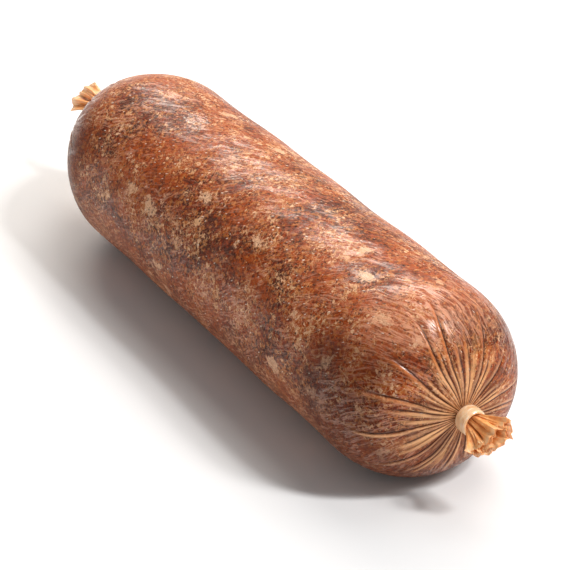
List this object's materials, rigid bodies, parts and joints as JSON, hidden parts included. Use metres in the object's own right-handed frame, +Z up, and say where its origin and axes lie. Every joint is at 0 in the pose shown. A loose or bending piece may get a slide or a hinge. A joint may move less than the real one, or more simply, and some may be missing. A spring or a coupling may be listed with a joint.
{
  "type": "cured sausage",
  "caption": "Cured sausage in a smooth casing, its rounded ends gathered into pleats, tied off by open bands and finished with ruffled tails.",
  "frame": {"origin": "middle of the bounding box in X and Y, on the plane that the sausage rests on", "axes": "+X along the sausage towards its fuller front end, +Z up, +Y to its left seen from behind the front end"},
  "size_m": [0.2743, 0.0655, 0.0626],
  "materials": {
    "cased_meat": "mottled red-brown meat with cream fat flecks under a glossy thin casing",
    "casing_film": "thin amber casing, crinkled and see-through at its cut edge",
    "band": "smooth pale cream band with a soft gloss"
  },
  "bodies": {
    "root": {"sausage": "cased_meat", "front_band": "band", "rear_band": "band"}
  },
  "joints": []
}
